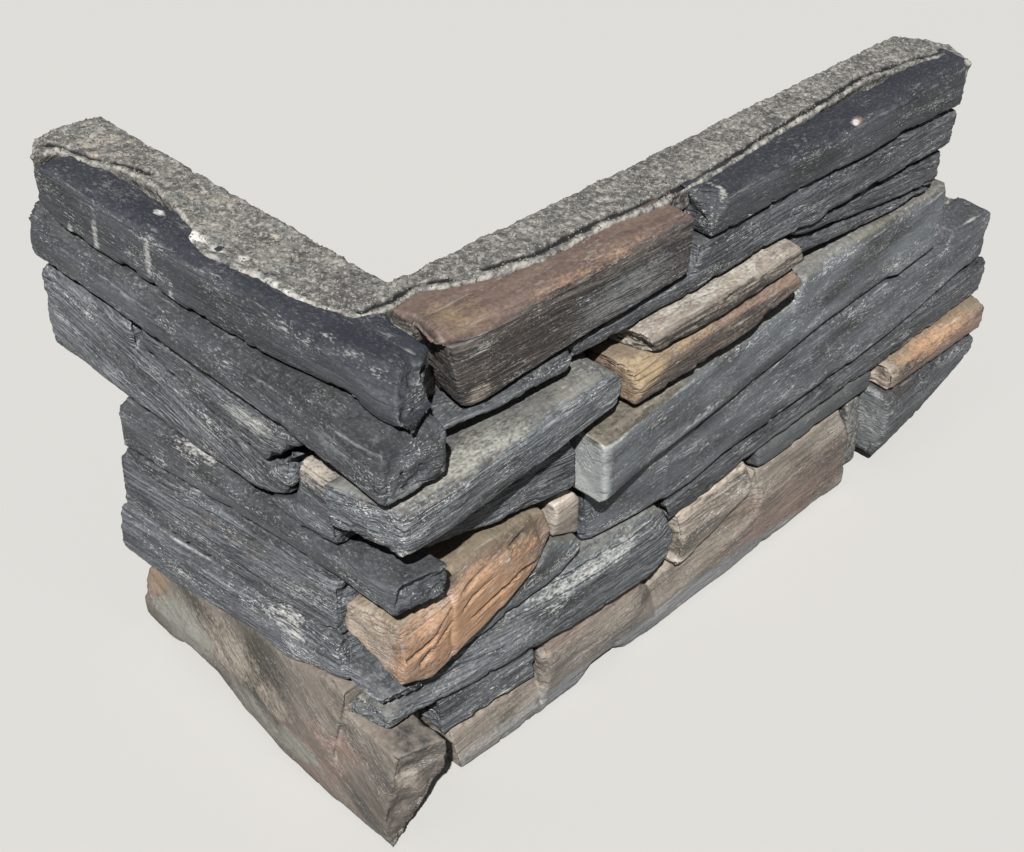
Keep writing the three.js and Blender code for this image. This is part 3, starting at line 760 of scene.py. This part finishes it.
LONG_ARM_STONES = {
    "brown_cap_stone": Stone(
        "brown_quartzite", layers=0.8, ends=0.3, plates=0.5, chips=0.3, streaks=0.9, tone=0.93,
        tail=[(-14, 28), (-25.5, 28), (-28, 41), (-23, 50), (-19.5, 58), (-17, 68), (-14, 72)],
        cracks=[[(-20, 28.5, 200), (-15.5, 29.5, 200), (-8, 27.5, 200), (0, 25.6, 199), (1, 34, 186),
                 (1, 38, 172)]],
        rounded=[("x", (141, 178), 10, (1, -1)), ("x", (140, 190), 11, (1, 1)),
                 ("z", (-9, 139), 13, (1, 1))],
        marks=[(OCHRE, (-10, 38, 200), (8, 8, 3), 0.5), (TAN, (-6, 44, 200), (9, 8, 3), 0.4),
               (ORANGE, (-1, 92, 199), (2.5, 36, 3), 0.2), (CHALK, (1, 46, 191), (3, 11, 3), 0.42),
               (UMBER, (1, 60, 184), (3, 22, 10), 0.9), (TAN, (1, 72, 184), (3, 10, 4), 0.45),
               (BEIGE, (0, 42, 174), (4, 5, 5), 0.7), (STONE_GREY, (1, 112, 182), (3, 26, 10), 0.6),
               (BEIGE, (-4, 24, 190), (24, 4, 14), 0.35)]),
    "navy_cap_stone": Stone(
        "navy_slate", layers=0.5, plates=0.3, streaks=0.4, tone=0.9,
        facets=[((1, 171, 199), (0.62, -0.62, 0.48))],
        marks=[(PINKISH, (-2, 252, 199), (1.6, 3.6, 3), 0.6),
               (CHALK, (-1.6, 251, 199), (1.0, 2.4, 3), 0.8),
               (CHALK, (-4, 168, 199), (5, 1.4, 3), 0.45)]),
    # The tucked stone's tone is raised to paint light on it where the brown cap shades it.
    "tucked_stone": Stone("dark_slate", layers=0.4, gap=2.6, streaks=0.4, tone=1.4),
    "second_strip": Stone("dark_slate", layers=0.9, gap=1.2, streaks=0.8),
    "upper_lens": Stone("dark_slate", layers=1.1, streaks=0.8, tone=0.9),
    "lower_lens": Stone("dark_slate", layers=1.1, streaks=0.8, tone=0.95),
    "pale_strip": Stone(
        "beige_quartzite", layers=1.3, thickness=0.7, gap=0.2, streaks=1.3,
        marks=[(CHALK, (0, 165, 162), (6, 60, 2), 0.28), (UMBER, (9, 167, 154), (4, 60, 7), 1.3)]),
    "rust_strip": Stone(
        "rust_quartzite", layers=0.7, ends=0.5, gap=0.4, streaks=0.7, tone=0.85,
        # Its dark grey lower front is partly its own colour and partly painted shade.
        marks=[(GOLD, (9, 117, 147), (10, 14, 9), 0.8), (GOLD, (7, 150, 150), (6, 30, 3), 0.4),
               (PINKISH, (6, 185, 150), (7, 40, 4), 0.45), (SLATE, (10, 180, 138), (4, 60, 10), 1.3)]),
    "corner_strip": Stone(
        "grey_quartzite", layers=0.8, ends=0.6, gap=1.6, streaks=0.9, tone=1.3,
        rounded=[("x", (100, 145), 10, (1, 1)), ("x", (102, 132), 8, (1, -1))],
        marks=[(GREENISH, (7, 32, 158), (7, 26, 3), 0.5), (CHALK, (13, -4, 139), (4, 5, 3), 0.45)]),
    "rough_wedge": Stone("grey_quartzite", layers=1.2, streaks=1.2, tone=0.9),
    "grey_strip": Stone(
        "grey_quartzite", layers=0.3, ends=0.1, chips=0.1, waves=0.5, streaks=0.2, tone=1.45,
        # Its olive top is partly its own colour and partly painted shade under the rust strip's
        # overhang.
        marks=[(OLIVE, (6, 112, 131), (9, 34, 3), 1.0), (SAWN, (3, 96, 114), (14, 4, 18), 1.0)]),
    "pale_grey_strip": Stone("pale_sawn_quartzite", layers=0.3, ends=0.1, chips=0.5, streaks=0.3),
    "dark_strip": Stone("dark_slate", layers=0.4, gap=1.2, waves=0.6, streaks=0.25, tone=1.3),
    "sixth_strip": Stone("dark_slate", layers=1.0, streaks=0.8, tone=0.8),
    "pink_chip": Stone("beige_quartzite", layers=0.5, ends=0.2, chips=0.2, streaks=0.3, tone=1.6),
    "grey_flap": Stone("grey_quartzite", layers=0.4, ends=0.4, streaks=0.3, tone=1.1),
    "rust_corner_stone": Stone(
        "rust_quartzite", layers=0.4, ends=0.4, chips=0.6, thickness=1.4, streaks=0.3,
        cracks=[[(9, 2, 87), (9, 13, 89), (8, 20, 95), (7, 29, 99), (5, 40, 101), (2, 64, 102)],
                [(8, 33, 84), (6, 43, 85), (6, 53, 86), (5, 62, 88), (4, 71, 86)],
                [(9, 8, 82), (8, 20, 88), (7, 34, 94), (5, 50, 97), (4, 62, 98)]],
        marks=[(BEIGE, (-6, -3, 92), (14, 6, 16), 0.5), (OLIVE, (2, 10, 105), (10, 20, 3), 0.8),
               (ORANGE, (9, 40, 88), (6, 40, 18), 0.7)]),
    "pointed_strip": Stone(
        "grey_quartzite", streaks=0.9, tone=1.1,
        rounded=[("x", (138, 52), 13, (1, -1)), ("x", (140, 62), 9, (1, 1))],
        marks=[(CHALK, (5, 105, 63), (7, 40, 3.5), 0.3)]),
    "small_dark_strip": Stone(
        "dark_slate", streaks=0.6, tone=1.1,
        marks=[(CHALK, (2, 57, 24), (4, 6, 3), 0.5)]),
    "beige_stone": Stone("beige_quartzite", layers=0.7, streaks=0.4, tone=1.65),
    "bottom_strip": Stone(
        "beige_quartzite", layers=0.7, gap=0.0, waves=1.2, streaks=0.3,
        marks=[(PINKISH, (4, 150, 30), (6, 150, 5), 0.35), (STONE_GREY, (8, 140, 6), (6, 130, 6), 0.75),
               (PINKISH, (8, 245, 14), (6, 60, 16), 0.5)]),
    "rust_end_stone": Stone(
        "rust_quartzite", layers=0.7, streaks=0.4, tone=0.9,
        marks=[(BEIGE, (2, 308, 53), (10, 7, 10), 0.6), (ORANGE, (7, 345, 58), (6, 30, 5), 0.5)]),
    "end_stone": Stone(
        "dark_slate", ends=0.2, gap=0.0, streaks=0.6, tone=0.95,
        marks=[(UMBER, (6, 316, 43), (8, 12, 4), 0.8), (SAWN, (2, 305, 26), (10, 5, 18), 1.1)]),
}

# A tail lies between these heights, in mm.
TAIL_LOW, TAIL_HIGH = 192.0, 199.8
# A strip shorter than this, in mm, is taken as level.
SHORTEST_SLOPE = 60
# Each stone's patterns are this far, in mm, from the ones of the stone before it.
SEED_STEP = (371.0, 113.0, 57.0)


def round_edges(obj, edges):
    """Brings whatever stands outside a rounded edge back to its radius."""
    points = points_of(obj)
    for axis, centre, radius, side in edges:
        across = [0, 1, 2]
        across.remove("xyz".index(axis))
        away = points[:, across] - centre
        beyond = np.all(away * side > 0, axis=1)
        distance = np.linalg.norm(away, axis=1)
        outside = beyond & (distance > radius)
        pulled = away[outside] * (radius / distance[outside])[:, None]
        points[np.ix_(outside, across)] = pulled + centre
    move_points(obj, points)


def split_facets(obj, facets):
    """Brings whatever stands out of a facet back to it."""
    points = points_of(obj)
    for through, facing in facets:
        facing = np.array(Vector(facing).normalized())
        beyond = np.maximum((points - through) @ facing, 0)
        points -= beyond[:, None] * facing
    move_points(obj, points)


def slope_of(obj, along):
    """How much a strip climbs along its length, from its own points."""
    points = points_of(obj)
    run = points @ np.array(along)
    return float(np.polyfit(run, points[:, 2], 1)[0]) if np.ptp(run) > SHORTEST_SLOPE else 0.0


def split_stone(node, stone, along, out, seed, tree, settings):
    """One strip: an even skin over its plain solid, split by the tree, then marked."""
    tail = [(stone.tail, TAIL_LOW, TAIL_HIGH)] if stone.tail else []
    obj, arrises, upper, lower = plain_copy(node, "split_" + node, tail)
    cracks = wire_object(node + "_cracks", [[at(*point) for point in line] for line in stone.cracks])
    slope = slope_of(obj, along)
    resurface(obj, settings.grain)
    round_edges(obj, stone.rounded)
    split_facets(obj, stone.facets)
    run_tree(obj, tree, {
        "Along": along, "Out": out, "Slope": slope + stone.tilt,
        "Seed": [seed * step for step in SEED_STEP],
        "Arrises": arrises, "Upper arrises": upper, "Lower arrises": lower, "Cracks": cracks,
        "Layer thickness": settings.layer_thickness * stone.thickness,
        "Layer depth": settings.layer_depth * stone.layers,
        "End depth": settings.end_depth * stone.ends,
        "Plate depth": settings.plate_depth * stone.plates,
        "Chip depth": settings.chip_depth * stone.chips,
        "Undulation": settings.undulation * stone.waves,
        "Joint gap": settings.joint_gap * stone.gap,
        "Crack depth": settings.crack_depth, "Brow depth": settings.brow_depth,
        "Streaks": stone.streaks, "Tone": stone.tone, "Stone": finish(stone.finish)})
    discard(arrises, upper, lower, cracks)
    paint_marks(obj, stone.marks)
    hand_over(obj, node)


def lay_strips(arm, stones, along, out, first_seed, settings):
    """Splits every strip of one arm."""
    tree = build_splitting_tree()
    for number, (name, stone) in enumerate(stones.items()):
        split_stone(arm + name, stone, along, out, first_seed + number, tree, settings)


# ---------------- the cement

# The edge of the mortar on top of the unit, from the short arm's end round to the long arm's.
MORTAR_RIM = [
    (-184.4, -0.1), (-183.5, 9.8), (-165.8, 12.5), (-157.5, 18.4), (-138.5, 19.5),
    (-118.7, 15.4), (-106, 12), (-101.9, 6.8), (-91, 4.6), (-66.9, 8.1), (-47, 10.1),
    (-38, 12.7), (-29.9, 16), (-25.6, 24.8), (-27.7, 41.9), (-22.2, 50.1), (-18.9, 58.2),
    (-16.5, 72), (-13, 85.2), (-13.4, 118.7), (-9.5, 143.6), (-11.7, 151.9), (-10.8, 166.5),
    (-12.3, 187.5), (-14.8, 214.2), (-17.4, 259.1), (-19.2, 284.5), (-15.4, 310.2),
    (-9.5, 331.7), (1.5, 329.5)]
# The rest of its outline: the long arm's end, the back faces and the short arm's end.
MORTAR_BACK = [
    (-3.6, 334), (-14.4, 339.2), (-27.6, 336.9), (-36.5, 328.8), (-37, 37),
    (-196, 37), (-199, 17), (-194.7, 6.5)]
# It lies between these heights, in mm.
MORTAR_LOW, MORTAR_HIGH = 191.5, 200.8
# It has cracked along the navy stones and behind the brown one.
MORTAR_CRACKS = [
    [(-190, 10), (-184, 12.5), (-176, 14.5), (-166, 16.5), (-157, 22), (-147, 23.5)],
    [(-14, 146), (-13.5, 166), (-15, 187), (-17.5, 214), (-20, 259), (-22, 284),
     (-18.5, 311), (-13.5, 329)],
    [(-22, 66), (-17.5, 86), (-17.5, 118), (-14, 144)],
    [(-31, 19), (-29, 30), (-30.5, 42), (-25.5, 53)]]
# The cast body ends at this height, under the mortar and the stones.
SEAT_HEIGHT = 195.5
# In mm: the lip along the stones, the cracks, the air holes and how far apart these lie.
LIP_HEIGHT, MORTAR_CRACK_DEPTH, AIR_HOLE_DEPTH, AIR_HOLE_SPACING = 1.6, 3.0, 1.2, 13
CEMENT_MARKS = [
    (CHALK, (-101, 9, 200), (5, 3, 4), 0.8), (BEIGE, (-178, 22, 200), (18, 14, 12), 0.35),
    (CHALK, (-60, 9, 200), (44, 4, 4), 0.4), (BEIGE, (-110, 24, 200), (70, 14, 8), 0.25)]


def build_casting_tree():
    """Roughens cast cement: trowel lumps, sand, a lip along the stones, cracks, air holes."""
    tree, given = begin_tree("cast_cement", {
        "Object": ("Rim", "Cracks"), "Float": ("Grit depth", "Lump height"),
        "Material": ("Cement",)})
    place = add(tree, "VectorMath SCALE", {0: add(tree, "GeometryNodeInputPosition"), "Scale": 1 / MM})
    normal = add(tree, "GeometryNodeInputNormal")

    # Lumps left by the trowel, and the sand in the paste.
    lumps = add(tree, "Math SUBTRACT", (mottle(tree, place, (14, 14, 14), 3.0), 0.55))
    grit = add(tree, "Math SUBTRACT", (mottle(tree, place, (3.4, 3.4, 3.4), 4.0), 0.5))

    # A lip where the mortar meets the stones.
    to_rim = distance_to(tree, given["Rim"])
    near_rim = add(tree, "MapRange SMOOTHSTEP", (to_rim, 0.5, 4.0, 1.0, 0.0))
    lip = add(tree, "Math MULTIPLY", (near_rim, mottle(tree, place, (9, 9, 9), 2.0)))

    # Cracks that wander along their lines.
    wander = add(tree, "Math MULTIPLY_ADD", (
        mottle(tree, place, (9, 9, 9), 3.0), 3.0, distance_to(tree, given["Cracks"])))
    crack = add(tree, "MapRange SMOOTHSTEP", (wander, 2.3, 3.2, 1.0, 0.0))

    # Air holes a few millimetres across, one in each cell that is drawn.
    cells = {"Vector": place, "Scale": 1 / AIR_HOLE_SPACING}
    to_centre = add(tree, "TexVoronoi", cells, "Distance")
    hole = add(tree, "MapRange SMOOTHSTEP", (to_centre, 0.1, 0.16, 1.0, 0.0))
    away_from_rim = add(tree, "MapRange", (to_rim, 3.0, 5.0))
    hole = add(tree, "Math MULTIPLY", (hole, away_from_rim))

    # How far the surface stands out: every pattern times its own height.
    height = add(tree, "Math MULTIPLY", (lumps, given["Lump height"]))
    for pattern, most in (
            (grit, given["Grit depth"]), (lip, LIP_HEIGHT), (crack, -MORTAR_CRACK_DEPTH),
            (hole, -AIR_HOLE_DEPTH)):
        height = add(tree, "Math MULTIPLY_ADD", (pattern, most, height))
    metres = add(tree, "Math MULTIPLY", (height, MM))
    offset = add(tree, "VectorMath SCALE", {0: normal, "Scale": metres})
    geometry = keep_on_points(tree, given["Geometry"], {"crack": crack, "rim": to_rim})
    geometry = add(tree, "GeometryNodeSetPosition", {"Geometry": geometry, "Offset": offset})
    end_tree(tree, geometry, given["Cement"])
    return tree


def finish_cement(obj, settings):
    """Roughens a cast piece, marks it and hands it over."""
    rounding = obj.modifiers.new("rounding", "SMOOTH")
    rounding.iterations = 4
    rim = wire_object(obj.name + "_rim", [[at(x, y, MORTAR_HIGH) for x, y in MORTAR_RIM]])
    cracks = wire_object(obj.name + "_cracks", [
        [at(x, y, MORTAR_HIGH) for x, y in line] for line in MORTAR_CRACKS])
    run_tree(obj, build_casting_tree(), {
        "Rim": rim, "Cracks": cracks, "Grit depth": settings.grit_depth,
        "Lump height": settings.lump_height, "Cement": finish("cement")})
    discard(rim, cracks)
    paint_marks(obj, CEMENT_MARKS)
    hand_over(obj, "cement_backing")


def cast_backing(settings):
    """The cast body of the cement, kept low on top, where the mortar and the stones lie."""
    obj, *wires = plain_copy("cement_backing", "cast_cement_backing")
    discard(*wires)
    resurface(obj, settings.backing_grain)
    points = points_of(obj)
    points[:, 2] = np.minimum(points[:, 2], SEAT_HEIGHT)
    move_points(obj, points)
    finish_cement(obj, settings)


def lay_mortar_bed(settings):
    """The mortar on top, which laps over the backs of the stones."""
    shape = bmesh.new()
    add_prism(shape, MORTAR_RIM + MORTAR_BACK, MORTAR_LOW, MORTAR_HIGH)
    obj = object_of(shape, "mortar_bed")
    resurface(obj, settings.mortar_grain)
    finish_cement(obj, settings)
    return obj


# The smallest grain of sand, as a share of the largest, and the furthest that a grain is turned.
SMALLEST_GRAIN, FULL_TURN = 0.4, 6.28
SAND_SEED = 5


def build_sanding_tree():
    """Scatters loose grains of sand over whatever faces up."""
    tree, given = begin_tree("scatter_sand", {
        "Float": ("Density", "Grain radius"), "Int": ("Seed",), "Material": ("Sand",)})
    upward = add(tree, "SeparateXYZ", (add(tree, "GeometryNodeInputNormal"),), "Z")
    level = add(tree, "Math GREATER_THAN", (upward, 0.6))
    places = add(tree, "GeometryNodeDistributePointsOnFaces", {
        "Mesh": given["Geometry"], "Selection": level, "Density": given["Density"],
        "Seed": given["Seed"]}, "Points")
    size = add(tree, "FunctionNodeRandomValue", {
        "Min": [SMALLEST_GRAIN] * 3, "Max": (1, 1, 1)}, data_type="FLOAT_VECTOR")
    turn = add(tree, "FunctionNodeRandomValue", {
        "Min": (0, 0, 0), "Max": [FULL_TURN] * 3}, data_type="FLOAT_VECTOR")
    shade = add(tree, "FunctionNodeRandomValue", {2: 0.0, 3: 1.0}, 1, data_type="FLOAT")
    scaled = add(tree, "VectorMath SCALE", {0: size, "Scale": given["Grain radius"]})
    grain = add(tree, "GeometryNodeMeshIcoSphere", {"Radius": 1.0, "Subdivisions": 1})
    grains = add(tree, "GeometryNodeInstanceOnPoints", {
        "Points": places, "Instance": grain, "Rotation": turn, "Scale": scaled})
    grains = add(tree, "GeometryNodeStoreNamedAttribute", {
        "Geometry": grains, "Name": "shade", "Value": shade}, data_type="FLOAT", domain="INSTANCE")
    end_tree(tree, grains, given["Sand"])
    return tree


def scatter_sand(mortar_bed, settings):
    """Loose grains of sand stuck to the top of the mortar bed."""
    obj = new_object("loose_sand", mortar_bed.data.copy())
    run_tree(obj, build_sanding_tree(), {
        "Density": settings.sand_spacing ** -2, "Grain radius": settings.sand_size, "Seed": SAND_SEED,
        "Sand": finish("loose_sand")})
    hand_over(obj, "cement_backing")


# ---------------- the studio

# Where the camera stands, which way it lies from the unit, and how far it leans to one side.
CAMERA_PLACE = (294.6, -266.9, 485.3)
AZIMUTH, ELEVATION, ROLL = radians(42.13), radians(37.21), radians(2.84)
# Which way the main light lies, and how wide its disc looks.
KEY_DIRECTION, KEY_ANGLE = Vector((0.40, -0.50, 0.75)), radians(1)
# In metres.
FLOOR_SIDE = 8.0


def set_camera(settings):
    """A camera on the outer corner's side of the unit, looking down on it."""
    back = Vector((sin(AZIMUTH) * cos(ELEVATION), -cos(AZIMUTH) * cos(ELEVATION), sin(ELEVATION)))
    level_right = (-back).cross(Vector((0, 0, 1))).normalized()
    level_up = level_right.cross(-back)
    right = level_right * cos(ROLL) + level_up * sin(ROLL)
    up = level_up * cos(ROLL) - level_right * sin(ROLL)
    camera = new_object("camera", bpy.data.cameras.new("camera"))
    camera.data.lens = settings.lens
    camera.data.sensor_width = 36.0
    camera.data.sensor_fit = "HORIZONTAL"
    camera.data.clip_start = 0.01
    turn = Matrix((right, up, back)).transposed().to_4x4()
    camera.matrix_world = Matrix.Translation(at(*CAMERA_PLACE)) @ turn
    bpy.context.scene.camera = camera


def set_lights(settings):
    """One main light, high on the short arm's side, and a soft fill from all round."""
    key = new_object("key_light", bpy.data.lights.new("key_light", "SUN"))
    key.data.energy = settings.key_strength
    key.data.angle = KEY_ANGLE
    key.rotation_euler = KEY_DIRECTION.to_track_quat("Z", "Y").to_euler()
    world = bpy.data.worlds.new("studio")
    bpy.context.scene.world = world
    world.use_nodes = True
    fill = world.node_tree.nodes["Background"]
    fill.inputs["Color"].default_value = linear("#e4e8ee")
    fill.inputs["Strength"].default_value = settings.fill_strength


def lay_floor(settings):
    """A plain matt floor under the unit, which throws no light back up at the stones."""
    mesh = bpy.data.meshes.new("floor")
    half = FLOOR_SIDE / 2
    corners = [(-half, -half, 0), (half, -half, 0), (half, half, 0), (-half, half, 0)]
    mesh.from_pydata(corners, [], [(0, 1, 2, 3)])
    floor = new_object("floor", mesh)
    material = bpy.data.materials.new("painted_floor")
    material.use_nodes = True
    paint = material.node_tree.nodes["Principled BSDF"]
    paint.inputs["Base Color"].default_value = settings.floor_colour
    paint.inputs["Roughness"].default_value = 0.85
    mesh.materials.append(material)
    floor.visible_diffuse = False


# ---------------- operators


class CORNERUNIT_OT_short_arm_stones(bpy.types.Operator):
    """Split the strips of the short arm"""

    bl_idname = "corner_unit.short_arm_stones"
    bl_label = "Short arm stones"

    def execute(self, context):
        lay_strips("short_arm_", SHORT_ARM_STONES, along=(1, 0, 0), out=(0, -1, 0), first_seed=1,
                   settings=context.scene.split_stone)
        return {"FINISHED"}


class CORNERUNIT_OT_long_arm_stones(bpy.types.Operator):
    """Split the strips of the long arm"""

    bl_idname = "corner_unit.long_arm_stones"
    bl_label = "Long arm stones"

    def execute(self, context):
        lay_strips("long_arm_", LONG_ARM_STONES, along=(0, 1, 0), out=(1, 0, 0), first_seed=21,
                   settings=context.scene.split_stone)
        return {"FINISHED"}


class CORNERUNIT_OT_cement_backing(bpy.types.Operator):
    """Cast the body of the cement backing"""

    bl_idname = "corner_unit.cement_backing"
    bl_label = "Cement backing"

    def execute(self, context):
        cast_backing(context.scene.cast_cement)
        return {"FINISHED"}


class CORNERUNIT_OT_mortar_bed(bpy.types.Operator):
    """Lay the mortar bed on top and scatter sand on it"""

    bl_idname = "corner_unit.mortar_bed"
    bl_label = "Mortar bed and sand"

    def execute(self, context):
        settings = context.scene.cast_cement
        scatter_sand(lay_mortar_bed(settings), settings)
        return {"FINISHED"}


class CORNERUNIT_OT_studio(bpy.types.Operator):
    """Set the floor, the lights and the camera"""

    bl_idname = "corner_unit.studio"
    bl_label = "Studio"

    def execute(self, context):
        settings = context.scene.studio
        set_camera(settings)
        set_lights(settings)
        lay_floor(settings)
        context.scene.view_settings.view_transform = "Standard"
        return {"FINISHED"}


class VIEW3D_PT_corner_unit(bpy.types.Panel):
    """The steps that make the unit, in order"""

    bl_label = "Corner unit"
    bl_space_type = "VIEW_3D"
    bl_region_type = "UI"
    bl_category = "Corner unit"

    def draw(self, context):
        for operator in OPERATORS:
            self.layout.operator(operator.bl_idname)
        for group in SETTINGS:
            settings = getattr(context.scene, group)
            box = self.layout.box()
            for name in settings.bl_rna.properties.keys():
                if name not in {"rna_type", "name"}:
                    box.prop(settings, name)


SETTINGS = {
    "split_stone": SplitStoneSettings, "cast_cement": CementSettings, "studio": StudioSettings}
OPERATORS = (
    CORNERUNIT_OT_studio, CORNERUNIT_OT_cement_backing, CORNERUNIT_OT_mortar_bed,
    CORNERUNIT_OT_short_arm_stones, CORNERUNIT_OT_long_arm_stones)
CLASSES = (*SETTINGS.values(), *OPERATORS, VIEW3D_PT_corner_unit)


def register():
    for cls in CLASSES:
        bpy.utils.register_class(cls)
    for name, group in SETTINGS.items():
        setattr(bpy.types.Scene, name, PointerProperty(type=group))


def unregister():
    for name in SETTINGS:
        delattr(bpy.types.Scene, name)
    for cls in reversed(CLASSES):
        bpy.utils.unregister_class(cls)


def main():
    """Registers the add-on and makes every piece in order."""
    register()
    bpy.ops.corner_unit.studio()
    bpy.ops.corner_unit.cement_backing()
    bpy.ops.corner_unit.mortar_bed()
    bpy.ops.corner_unit.short_arm_stones()
    bpy.ops.corner_unit.long_arm_stones()


if __name__ == "__main__":
    main()
